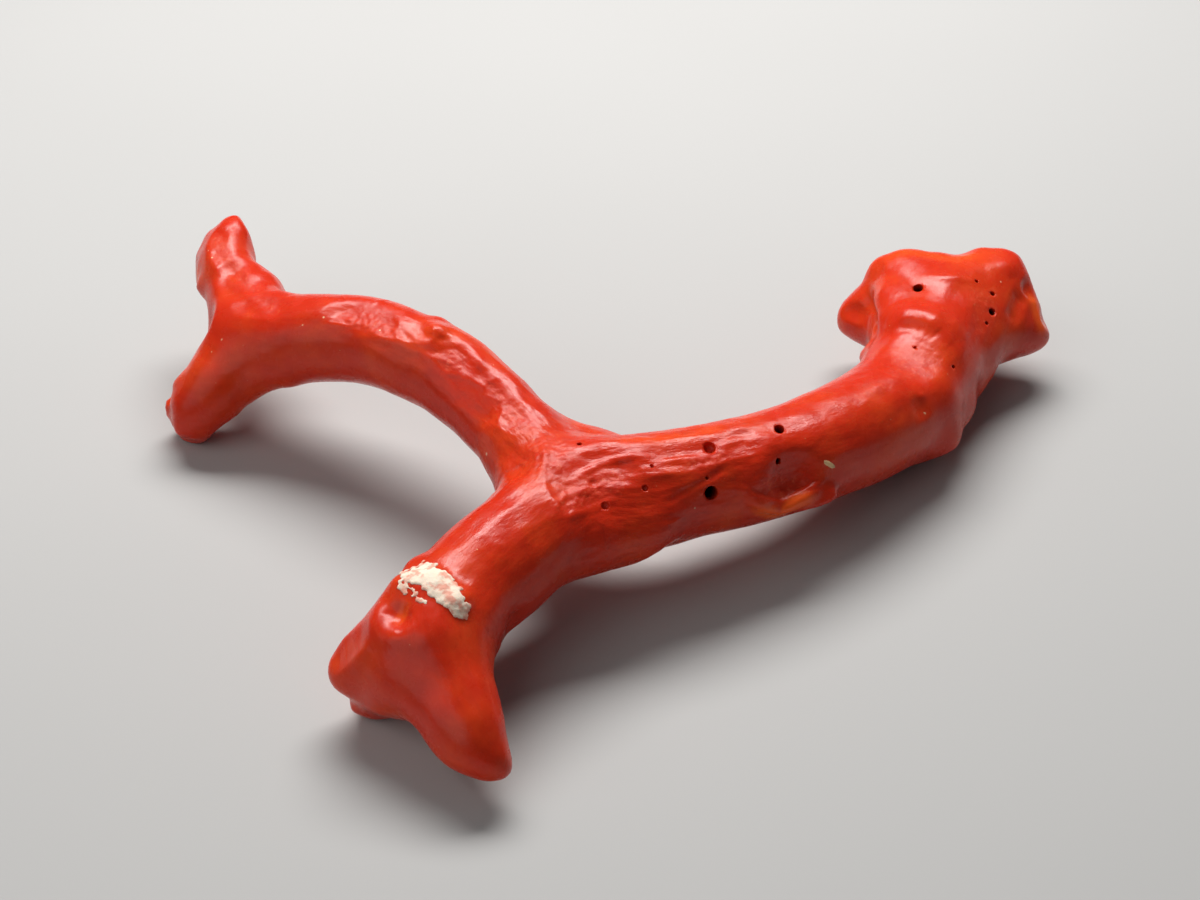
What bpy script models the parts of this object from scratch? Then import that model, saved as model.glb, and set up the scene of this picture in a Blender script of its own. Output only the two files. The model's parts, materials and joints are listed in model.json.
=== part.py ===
"""Polished branch of red coral, lying as it rests on a table.

A thick stem bends up from an elbow into a broad knuckled head. At the fork the branch parts into a long arched arm,
which ends in two twigs, and a short arm, which ends in a blunt stub with a toe below it and in a pointed prong. A
patch of white lime crust sits in the short arm's skin. The branch grew as one piece, so its form is fused whole and
then sawn into limbs at its forks. All lengths below are in millimetres, with z = 0 on the table.
"""

import math

import bmesh
import bpy
from mathutils import Matrix, Vector

MM = 0.001

# How finely the skin is fused and finished, how often it is relaxed, and the share of its triangles that is kept.
FUSE_STEP = 0.26
FUSE_ROUNDS = 8
FINISH_STEP = 0.24
FINISH_ROUNDS = 3
KEPT_SHARE = 0.1

# Gaps between pieces that touch in the real branch.
SAW_GAP = 0.3
CRUST_GAP = 0.3

# Worm holes in the stem and head.
BORE_RADIUS = 0.3
BORE_DEPTH = 1.5
BORE_LEAD = 0.8

# Worn and broken faces are planed off with a slab this thick.
FLAT_SLAB = 4.0
TABLE_RADIUS = 40.0

CORAL_RED = (0.60, 0.045, 0.014)
CORAL_ROUGHNESS = 0.3
CRUST_WHITE = (0.74, 0.62, 0.54)
CRUST_ROUGHNESS = 0.9

# Centrelines of the limbs: (x, y, z, radius of the limb there).
LIMBS = {
    "stem": (
        (-2.4, -8.9, 5.0, 2.50),
        (0.2, -9.6, 4.9, 2.85),
        (2.7, -9.0, 4.8, 2.70),
        (4.8, -8.1, 4.6, 2.62),
        (8.3, -6.3, 4.2, 2.60),
        (10.9, -4.3, 3.8, 2.70),
        (13.1, -2.3, 3.4, 2.80),
        (14.9, 0.1, 3.0, 2.95),
        (16.2, 2.9, 3.1, 3.05),
        (16.9, 5.4, 3.5, 2.90),
        (17.7, 7.5, 3.9, 2.70),
    ),
    "long_arm": (
        (-2.5, -8.5, 5.0, 2.35),
        (-3.7, -6.3, 5.5, 2.15),
        (-5.6, -3.9, 6.1, 2.10),
        (-7.3, -2.1, 6.4, 2.17),
        (-9.2, -0.7, 6.4, 2.18),
        (-11.4, 0.9, 6.1, 2.22),
        (-14.0, 1.9, 5.5, 2.25),
        (-16.6, 3.0, 4.8, 2.30),
        (-17.9, 3.6, 4.4, 2.10),
    ),
    "upper_twig": (
        (-17.4, 4.2, 4.6, 2.00),
        (-18.5, 6.7, 5.1, 1.70),
        (-19.1, 8.5, 5.6, 1.45),
        (-19.0, 9.7, 6.0, 1.25),
        (-18.8, 10.4, 6.3, 1.00),
    ),
    "lower_twig": (
        (-17.5, 3.0, 4.3, 2.05),
        (-18.6, 1.8, 3.3, 1.92),
        (-19.6, 1.1, 2.2, 1.72),
        (-20.5, 0.9, 1.3, 1.55),
    ),
    "short_arm": (
        (-1.8, -10.4, 5.0, 2.55),
        (-3.1, -12.5, 4.8, 2.70),
        (-4.6, -14.1, 4.5, 2.68),
        (-5.8, -15.6, 4.2, 2.62),
        (-6.6, -17.0, 4.0, 2.70),
        (-7.4, -18.5, 3.7, 2.85),
    ),
    "stub": (
        (-7.4, -18.3, 3.7, 2.50),
        (-9.1, -18.7, 3.2, 2.15),
        (-10.6, -18.8, 2.6, 1.30),
    ),
    "toe": (
        (-8.6, -19.1, 2.5, 2.00),
        (-9.8, -18.6, 0.9, 1.15),
    ),
    "prong": (
        (-7.0, -18.8, 3.6, 2.50),
        (-6.2, -21.0, 3.0, 2.08),
        (-5.5, -22.2, 2.5, 1.75),
        (-5.0, -23.0, 2.1, 1.45),
        (-4.7, -23.3, 1.9, 1.15),
    ),
}

# Swellings that the plain limbs leave out: centre, radii, and turn about Z in degrees.
SWELLINGS = {
    "fork_web": ((-2.0, -9.0, 4.9), (2.9, 2.9, 2.45), 0),
    "stem_elbow": ((15.0, -0.2, 2.85), (2.9, 2.9, 3.05), 30),
    "arm_end": ((-16.9, 3.5, 4.7), (2.1, 2.2, 2.1), 0),
    "twig_web_upper": ((-17.0, 5.9, 4.9), (1.3, 1.7, 1.4), 0),
    "twig_web_lower": ((-15.6, 1.2, 4.6), (1.9, 1.4, 1.5), 20),
    "twig_corner": ((-20.3, 10.3, 5.4), (0.9, 0.9, 0.9), 0),
    "twig_heel": ((-20.2, 8.7, 4.9), (1.0, 1.1, 1.0), 0),
    "short_arm_end": ((-7.7, -18.2, 3.8), (2.9, 2.5, 2.6), 30),
}

# Where the branch is broader than its limbs: skins stretched round a few balls each, given as (x, y, z, radius).
WEBS = {
    "fork_armpit": (
        (-1.0, -9.5, 4.9, 2.3),
        (2.1, -10.8, 4.5, 1.9),
        (-2.2, -12.4, 4.5, 2.0),
    ),
    "fork_saddle": (
        (-1.0, -9.5, 4.9, 2.3),
        (-2.9, -5.4, 5.2, 1.2),
        (0.8, -7.1, 5.0, 1.2),
    ),
    "head_crown": (
        (16.0, 3.4, 3.3, 2.6),
        (17.6, 7.6, 4.0, 2.4),
        (15.5, 8.5, 4.9, 1.35),
        (20.7, 8.9, 4.8, 1.3),
        (21.5, 7.4, 3.6, 1.15),
        (18.9, 4.2, 3.3, 1.6),
    ),
    "head_nub": (
        (16.4, 5.6, 3.5, 2.3),
        (15.2, 8.1, 4.4, 1.35),
        (13.1, 7.6, 2.7, 1.1),
    ),
    "head_foot": (
        (18.4, 5.8, 3.4, 2.45),
        (21.4, 7.7, 3.9, 1.0),
        (22.2, 6.6, 2.5, 1.1),
    ),
}

# Hollows, as ellipsoids taken away: centre, radii and turn about Z.
HOLLOWS = {
    "ledge_scoop": ((9.3, -9.0, 5.6), (1.8, 1.3, 1.4), 10),
    "head_saddle": ((18.0, 13.0, 5.4), (2.3, 2.6, 3.0), 0),
    "nub_hollow": ((12.8, 6.0, 4.6), (1.2, 1.2, 1.2), 0),
    "arm_dent": ((-11.4, -0.6, 9.1), (1.7, 0.9, 1.3), -20),
    "arm_notch": ((-7.2, -3.9, 9.0), (1.5, 0.8, 1.3), -45),
    "stub_crater": ((-8.7, -19.1, 6.4), (0.8, 0.8, 0.8), 0),
}

# Worn and broken flats: a point on the face, the way it faces, and the radius of the slab that is taken off.
FLATS = {
    "head_top": ((18.2, 8.0, 6.1), (0.05, 0.12, 1.0), 3.6),
    "arm_facet": ((-6.0, -5.0, 7.4), (-0.3, -0.5, 0.8), 2.2),
    "head_nub_end": ((12.4, 8.2, 2.9), (-0.9, 0.35, -0.1), 2.2),
    "head_foot_end": ((23.0, 7.6, 2.6), (0.95, 0.3, 0.05), 2.6),
    "lower_twig_end": ((-21.4, 0.9, 1.7), (-0.9, -0.25, 0.1), 2.2),
}

# Ledges, ridges and knots that stand proud of the skin: centre, radii and turn about Z.
RIDGES = {
    "stem_ledge": ((9.2, -8.3, 3.6), (2.1, 0.9, 0.4), 12),
    "crown_ridge": ((15.9, 2.9, 5.8), (1.2, 0.5, 0.4), -37),
    "fork_knot": ((-2.4, -9.9, 7.2), (0.9, 0.6, 0.4), 60),
    "arm_knot": ((-7.8, -1.6, 8.2), (0.9, 0.7, 0.6), -40),
    "arm_ridge": ((-9.7, -1.1, 8.1), (1.9, 0.5, 0.4), -48),
}

# Lumps of the lime crust: centre and radii.
CRUST_LUMPS = {
    "crust_low": ((-8.1, -17.2, 6.1), (0.8, 0.7, 0.5)),
    "crust_mid": ((-7.1, -17.5, 6.4), (0.9, 0.8, 0.5)),
    "crust_end": ((-6.2, -18.2, 6.2), (0.8, 0.8, 0.5)),
}
CRUST_STEP = 0.12
CRUST_ROUNDS = 2
CRUST_SHARE = 0.12

# Worm holes: the mouth and the way in.
BORES = {
    "bore_near_fork": ((5.0, -8.8, 7.0), (-0.2, 0.2, -1.0)),
    "bore_front": ((5.0, -10.5, 5.8), (-0.2, 0.9, -0.4)),
    "bore_above_ledge": ((8.2, -7.0, 6.7), (-0.2, 0.2, -1.0)),
    "bore_in_scoop": ((8.1, -8.3, 6.0), (-0.2, 0.8, -0.6)),
    "bore_head": ((15.9, 5.4, 6.1), (0.2, 0.0, -1.0)),
}

# Where the branch is sawn: the middle of the cut, the way the limb leaves there, and the reach of the blade.
SAW_CUTS = {
    "long_arm": ((-4.2, -5.7, 5.7), (-1.9, 2.4, 0.6), 3.2),
    "short_arm": ((-3.5, -12.9, 4.7), (-1.5, -1.6, -0.3), 3.6),
    "upper_twig": ((-18.3, 6.6, 5.0), (-0.6, 2.4, 0.6), 3.4),
    "lower_twig": ((-18.4, 2.0, 3.6), (-1.1, -1.1, -1.1), 3.1),
    "prong": ((-6.4, -20.4, 3.2), (0.8, -2.2, -0.6), 3.0),
}

# The middle of each sawn limb, to tell the pieces apart.
LIMB_MIDDLES = {
    "stem": (8.7, -2.2, 3.9),
    "long_arm": (-11.3, 0.2, 5.3),
    "upper_twig": (-18.7, 8.7, 5.4),
    "lower_twig": (-19.2, 1.5, 2.5),
    "short_arm": (-6.7, -16.3, 3.7),
    "prong": (-6.3, -22.0, 3.0),
}


def new_collection(name):
    made = bpy.data.collections.new(name)
    bpy.context.scene.collection.children.link(made)
    return made


def new_object(name, grid, collection):
    """An object with the bmesh grid as its mesh. The grid is in millimetres."""
    bmesh.ops.transform(grid, matrix=Matrix.Scale(MM, 4), verts=grid.verts)
    mesh = bpy.data.meshes.new(name)
    grid.to_mesh(mesh)
    grid.free()
    made = bpy.data.objects.new(name, mesh)
    collection.objects.link(made)
    return made


def ellipsoid(name, centre, radii, turn, collection):
    """An ellipsoid, turned about Z by so many degrees."""
    grid = bmesh.new()
    bmesh.ops.create_icosphere(grid, subdivisions=3, radius=1.0)
    turned = Matrix.Rotation(math.radians(turn), 4, "Z")
    placed = Matrix.Translation(centre) @ turned @ Matrix.Diagonal((*radii, 1.0))
    bmesh.ops.transform(grid, matrix=placed, verts=grid.verts)
    return new_object(name, grid, collection)


def round_bar(name, start, along, radius, length, sides, collection):
    """A round bar or slab that begins at start and runs along a direction."""
    grid = bmesh.new()
    bmesh.ops.create_cone(
        grid, cap_ends=True, segments=sides, radius1=radius, radius2=radius, depth=length
    )
    direction = Vector(along).normalized()
    turned = direction.to_track_quat("Z", "Y").to_matrix().to_4x4()
    middle = Vector(start) + direction * length / 2
    bmesh.ops.transform(grid, matrix=Matrix.Translation(middle) @ turned, verts=grid.verts)
    return new_object(name, grid, collection)


def limb(name, stations, collection):
    """A tapered round limb along a smooth centreline, with a ball at each end."""
    line = bpy.data.curves.new(name, "CURVE")
    line.dimensions = "3D"
    line.bevel_depth = 1.0
    line.bevel_resolution = 4
    line.resolution_u = 6
    line.use_fill_caps = True
    spline = line.splines.new("BEZIER")
    spline.bezier_points.add(len(stations) - 1)
    for point, (x, y, z, radius) in zip(spline.bezier_points, stations):
        point.co = (x, y, z)
        point.radius = radius
        point.handle_left_type = point.handle_right_type = "AUTO"
    guide = bpy.data.objects.new(name, line)
    collection.objects.link(guide)
    graph = bpy.context.evaluated_depsgraph_get()
    grid = bmesh.new()
    grid.from_mesh(bpy.data.meshes.new_from_object(guide.evaluated_get(graph)))
    bmesh.ops.remove_doubles(grid, verts=grid.verts, dist=0.01)
    bpy.data.objects.remove(guide)
    pieces = [new_object(name, grid, collection)]
    for x, y, z, radius in (stations[0], stations[-1]):
        pieces.append(ellipsoid(name + "_end", (x, y, z), (radius,) * 3, 0, collection))
    return pieces


def web(name, balls, collection):
    """A skin stretched tight round a few balls."""
    grid = bmesh.new()
    for x, y, z, radius in balls:
        placed = Matrix.Translation((x, y, z))
        bmesh.ops.create_icosphere(grid, subdivisions=3, radius=radius, matrix=placed)
    bmesh.ops.convex_hull(grid, input=grid.verts)
    inner = [vertex for vertex in grid.verts if not vertex.link_faces]
    bmesh.ops.delete(grid, geom=inner, context="VERTS")
    return new_object(name, grid, collection)


def joined(name, pieces, collection):
    """One object that takes over the meshes of all the pieces."""
    grid = bmesh.new()
    for piece in pieces:
        grid.from_mesh(piece.data)
        bpy.data.objects.remove(piece)
    mesh = bpy.data.meshes.new(name)
    grid.to_mesh(mesh)
    grid.free()
    made = bpy.data.objects.new(name, mesh)
    collection.objects.link(made)
    return made


def fuse(target, step, rounds):
    """Melts overlapping shells into one skin, and rounds the creases between them."""
    remesh = target.modifiers.new("fuse", "REMESH")
    remesh.mode = "VOXEL"
    remesh.voxel_size = step * MM
    relax = target.modifiers.new("relax", "SMOOTH")
    relax.factor = 0.5
    relax.iterations = rounds


def thin(target, share):
    """Keeps only a share of the triangles."""
    decimate = target.modifiers.new("thin", "DECIMATE")
    decimate.ratio = share


def cut(target, cutters):
    """Takes every solid of a collection away from the target, and hides those solids."""
    for solid in cutters.objects:
        solid.hide_render = True
        solid.display_type = "WIRE"
    boolean = target.modifiers.new("cut", "BOOLEAN")
    boolean.operation = "DIFFERENCE"
    boolean.operand_type = "COLLECTION"
    boolean.collection = cutters


def apply_modifiers(target):
    """Replaces the target's mesh by what its modifiers make of it."""
    graph = bpy.context.evaluated_depsgraph_get()
    mesh = bpy.data.meshes.new_from_object(target.evaluated_get(graph))
    target.modifiers.clear()
    target.data = mesh


def fused_branch(collection):
    """The whole branch in one skin, with its hollows, flats and ridges."""
    pieces = []
    for name, stations in LIMBS.items():
        pieces += limb(name, stations, collection)
    for name, (centre, radii, turn) in SWELLINGS.items():
        pieces.append(ellipsoid(name, centre, radii, turn, collection))
    for name, balls in WEBS.items():
        pieces.append(web(name, balls, collection))
    bulk = joined("bulk", pieces, collection)
    hollows = new_collection("hollows")
    for name, (centre, radii, turn) in HOLLOWS.items():
        ellipsoid(name, centre, radii, turn, hollows)
    for name, (point, facing, radius) in FLATS.items():
        round_bar(name, point, facing, radius, FLAT_SLAB, 32, hollows)
    fuse(bulk, FUSE_STEP, FUSE_ROUNDS)
    cut(bulk, hollows)
    apply_modifiers(bulk)
    ridges = [ellipsoid(name, *ridge, collection) for name, ridge in RIDGES.items()]
    branch = joined("branch", [bulk, *ridges], collection)
    fuse(branch, FINISH_STEP, FINISH_ROUNDS)
    thin(branch, KEPT_SHARE)
    apply_modifiers(branch)
    return branch


def lime_crust(collection):
    """The lumps of the crust, fused into one rough patch."""
    lumps = [ellipsoid(name, *lump, 0, collection) for name, lump in CRUST_LUMPS.items()]
    crust = joined("lime_crust", lumps, collection)
    fuse(crust, CRUST_STEP, CRUST_ROUNDS)
    thin(crust, CRUST_SHARE)
    apply_modifiers(crust)
    return crust


def sawn_limbs(branch, collection):
    """Bores, pockets and saws the branch, levels its feet on the table, and returns the limbs by name."""
    tools = new_collection("saws_and_drills")
    for name, (mouth, inward) in BORES.items():
        lead = Vector(inward).normalized() * BORE_LEAD
        round_bar(name, Vector(mouth) - lead, inward, BORE_RADIUS, BORE_LEAD + BORE_DEPTH, 16, tools)
    for name, (centre, radii) in CRUST_LUMPS.items():
        pocket = [radius + CRUST_GAP for radius in radii]
        ellipsoid(name + "_pocket", centre, pocket, 0, tools)
    for name, (middle, leaving, reach) in SAW_CUTS.items():
        start = Vector(middle) - Vector(leaving).normalized() * SAW_GAP / 2
        round_bar("saw_" + name, start, leaving, reach, SAW_GAP, 32, tools)
    round_bar("table", (0, -5, 0), (0, 0, -1), TABLE_RADIUS, FLAT_SLAB, 32, tools)
    cut(branch, tools)
    apply_modifiers(branch)
    for other in bpy.context.view_layer.objects:
        other.select_set(other == branch)
    bpy.context.view_layer.objects.active = branch
    bpy.ops.mesh.separate(type="LOOSE")
    limbs = list(collection.objects)
    for piece in limbs:
        corners = [Vector(corner) for corner in piece.bound_box]
        middle = sum(corners, Vector()) / len(corners) / MM
        piece.name = min(LIMB_MIDDLES, key=lambda name: (Vector(LIMB_MIDDLES[name]) - middle).length)
    return limbs


def centre_on_table(pieces):
    """Moves the pieces together so that the middle of their footprint's box is at the origin."""
    corners = [Vector(corner) for piece in pieces for corner in piece.bound_box]
    middle = [(min(c[axis] for c in corners) + max(c[axis] for c in corners)) / 2 for axis in (0, 1)]
    for piece in pieces:
        piece.data.transform(Matrix.Translation((-middle[0], -middle[1], 0)))


def paint(piece, colour, roughness):
    material = bpy.data.materials.new(piece.name)
    material.use_nodes = True
    shader = material.node_tree.nodes["Principled BSDF"]
    shader.inputs["Base Color"].default_value = (*colour, 1)
    shader.inputs["Roughness"].default_value = roughness
    shader.inputs["Metallic"].default_value = 0.0
    piece.data.materials.clear()
    piece.data.materials.append(material)
    piece.data.shade_smooth()
    piece.data.set_sharp_from_angle(angle=math.radians(50))


def main():
    for old in list(bpy.data.objects):
        bpy.data.objects.remove(old)
    collection = new_collection("red_coral_branch")
    limbs = sawn_limbs(fused_branch(collection), collection)
    crust = lime_crust(collection)
    centre_on_table([*limbs, crust])
    for piece in limbs:
        paint(piece, CORAL_RED, CORAL_ROUGHNESS)
    paint(crust, CRUST_WHITE, CRUST_ROUGHNESS)


main()
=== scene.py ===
"""Looks of the polished red coral branch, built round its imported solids.

The six sawn limbs are closed into one waxy skin, which is then carved: creases melted, the outline pulled to
the photograph's, facets worn flat, hollows, crests and bumps, the scooped ledge, the knuckled head, growth
striations, worm holes and pin pricks. The lime crust is a patch of fused lumps, and a grain of sand sticks to
the stem. Lengths are in millimetres unless a name says otherwise. Places named as pixels are points of the
1200 x 900 view.
"""

import json
import math
import random

import bmesh
import bpy
import numpy as np
from mathutils import Matrix, Vector, noise
from mathutils.bvhtree import BVHTree

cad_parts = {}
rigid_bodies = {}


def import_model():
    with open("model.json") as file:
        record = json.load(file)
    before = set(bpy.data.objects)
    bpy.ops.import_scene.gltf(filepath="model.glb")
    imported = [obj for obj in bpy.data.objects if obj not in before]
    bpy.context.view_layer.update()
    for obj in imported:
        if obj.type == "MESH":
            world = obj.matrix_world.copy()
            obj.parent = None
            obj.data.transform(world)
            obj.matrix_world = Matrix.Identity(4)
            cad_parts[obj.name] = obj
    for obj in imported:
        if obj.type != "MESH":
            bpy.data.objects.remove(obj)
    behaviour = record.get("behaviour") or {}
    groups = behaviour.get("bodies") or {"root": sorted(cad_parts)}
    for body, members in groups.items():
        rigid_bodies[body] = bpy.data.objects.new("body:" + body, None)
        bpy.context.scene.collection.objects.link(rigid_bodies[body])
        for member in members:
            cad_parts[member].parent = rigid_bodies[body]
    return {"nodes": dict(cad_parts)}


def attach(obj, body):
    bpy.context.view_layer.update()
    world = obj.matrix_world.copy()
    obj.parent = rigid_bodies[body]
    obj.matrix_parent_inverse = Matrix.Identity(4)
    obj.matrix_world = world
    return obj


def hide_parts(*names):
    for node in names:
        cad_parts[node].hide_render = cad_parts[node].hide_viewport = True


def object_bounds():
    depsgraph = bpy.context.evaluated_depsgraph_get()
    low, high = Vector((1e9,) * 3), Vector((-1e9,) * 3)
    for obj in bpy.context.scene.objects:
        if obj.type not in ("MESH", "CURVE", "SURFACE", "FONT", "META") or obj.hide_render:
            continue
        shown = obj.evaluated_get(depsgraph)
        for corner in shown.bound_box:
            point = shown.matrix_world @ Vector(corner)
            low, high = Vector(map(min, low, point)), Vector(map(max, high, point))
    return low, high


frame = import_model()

cad_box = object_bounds()

MM = 0.001
FAR = 1e9

# The view: a point on the table that the camera looks at, how far off it stands, how steeply it looks down.
VIEW_TARGET = Vector((-0.76, 6.52, 0.0))
VIEW_DISTANCE = 120.0
VIEW_DOWN = math.radians(38)
VIEW_ANGLE = math.radians(28)
VIEW_WIDTH, VIEW_HEIGHT = 1200, 900

LIMB_NODES = ("stem", "long_arm", "upper_twig", "lower_twig", "short_arm", "prong")

# How the saw cuts are closed again: a swell bridges them, then the skin is made anew at a finer step.
SWELL = 0.30
BRIDGE_STEP = 0.14
BRIDGE_ROUNDS = 4
SKIN_STEP = 0.165
SKIN_ROUNDS = 12
MERGE_GAP = 0.001

# How far round a seen point its facing is averaged.
FACING_REACH = 0.6
# How squarely a point has to face a form to take part in it: from this, and fully after so much more.
SIDE_FROM = -0.1
SIDE_OVER = 0.6
# A crest or furrow fades over this share of its length at each end, down to this strength.
END_SHARE = 0.25
END_STRENGTH = 0.15
# An outline of pixels works within this distance, on what faces the camera by more than a slant.
OUTLINE_REACH = 5.0
OUTLINE_SLANT = 0.3
# A facet is fully flat in its middle part, and follows the limb's direction within this many times its reach.
FACET_FLATNESS = 1.4
FACET_ROUND = 1.5

# The two lines that the coral grew along, and that its fine grain follows: through the arms, and up the stem.
GROWTH_PATHS = {
    "grain_arms": (
        (-19.6, 17.4, 6.4),
        (-19.3, 13.4, 5.1),
        (-17.6, 9.9, 4.8),
        (-12.2, 7.4, 6.1),
        (-8.1, 4.4, 6.4),
        (-4.5, 0.2, 5.5),
        (-2.4, -3.2, 5.0),
        (-5.4, -7.6, 4.5),
        (-8.0, -11.6, 3.8),
        (-6.6, -15.0, 2.8),
        (-5.4, -17.2, 1.9),
    ),
    "grain_stem": (
        (-6.2, -6.4, 4.5),
        (-2.2, -3.4, 5.0),
        (2.0, -2.5, 4.8),
        (7.5, 0.2, 4.2),
        (12.3, 4.2, 3.4),
        (15.4, 9.4, 3.1),
        (16.9, 14.0, 3.9),
        (18.4, 18.0, 5.5),
    ),
}
STEM_SHARE_FROM = (-3.6, -2.6, 5.0)
STEM_SHARE_TO = (-0.4, -2.8, 5.0)


def view_axes():
    """The view's right, up and forward directions."""
    forward = Vector((0.0, math.cos(VIEW_DOWN), -math.sin(VIEW_DOWN)))
    up = Vector((0.0, math.sin(VIEW_DOWN), math.cos(VIEW_DOWN)))
    return Vector((1.0, 0.0, 0.0)), up, forward


def view_point():
    """Where the camera stands."""
    return VIEW_TARGET - view_axes()[2] * VIEW_DISTANCE


def sight_line(pixel):
    """The direction from the camera through a pixel."""
    right, up, forward = view_axes()
    focal = VIEW_WIDTH / 2 / math.tan(VIEW_ANGLE / 2)
    across = (pixel[0] - VIEW_WIDTH / 2) / focal
    rise = (VIEW_HEIGHT / 2 - pixel[1]) / focal
    return (forward + right * across + up * rise).normalized()


def new_piece(name, mesh):
    piece = bpy.data.objects.new(name, mesh)
    bpy.context.scene.collection.objects.link(piece)
    return piece


def piece_from(name, grid):
    """A piece with the bmesh grid as its mesh, which is in metres by now."""
    mesh = bpy.data.meshes.new(name)
    grid.to_mesh(mesh)
    grid.free()
    return new_piece(name, mesh)


def to_metres(grid):
    bmesh.ops.transform(grid, matrix=Matrix.Scale(MM, 4), verts=grid.verts)


def settle(piece):
    """Replaces a piece's mesh by what its modifiers make of it."""
    graph = bpy.context.evaluated_depsgraph_get()
    mesh = bpy.data.meshes.new_from_object(piece.evaluated_get(graph))
    piece.modifiers.clear()
    piece.data = mesh


def swell(piece, amount):
    """Grows a closed skin outwards, or shrinks it where the amount is negative."""
    grow = piece.modifiers.new("swell", "DISPLACE")
    grow.strength = amount * MM
    grow.mid_level = 0.0


def refuse_skin(piece, step):
    """A fresh even skin round whatever the piece encloses."""
    remesh = piece.modifiers.new("skin", "REMESH")
    remesh.mode = "VOXEL"
    remesh.voxel_size = step * MM


def relax(piece, rounds, share=0.5):
    smooth = piece.modifiers.new("relax", "SMOOTH")
    smooth.factor = share
    smooth.iterations = rounds


def biggest_shell(piece):
    """Deletes everything but the largest connected part of a mesh."""
    grid = bmesh.new()
    grid.from_mesh(piece.data)
    waiting = set(grid.verts)
    shells = []
    while waiting:
        shell = [waiting.pop()]
        for vertex in shell:
            for edge in vertex.link_edges:
                other = edge.other_vert(vertex)
                if other in waiting:
                    waiting.remove(other)
                    shell.append(other)
        shells.append(shell)
    shells.sort(key=len)
    for shell in shells[:-1]:
        bmesh.ops.delete(grid, geom=shell, context="VERTS")
    grid.to_mesh(piece.data)
    grid.free()


def closed_branch():
    """One skin round all the limbs, with the saw cuts, the bores and the crust's moat closed."""
    grid = bmesh.new()
    for name in (*LIMB_NODES, "lime_crust"):
        grid.from_mesh(frame["nodes"][name].data)
    bmesh.ops.remove_doubles(grid, verts=grid.verts, dist=MERGE_GAP * MM)
    branch = piece_from("coral_branch", grid)
    swell(branch, SWELL)
    refuse_skin(branch, BRIDGE_STEP)
    relax(branch, BRIDGE_ROUNDS)
    swell(branch, -SWELL)
    refuse_skin(branch, SKIN_STEP)
    relax(branch, SKIN_ROUNDS)
    settle(branch)
    biggest_shell(branch)
    return branch


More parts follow.
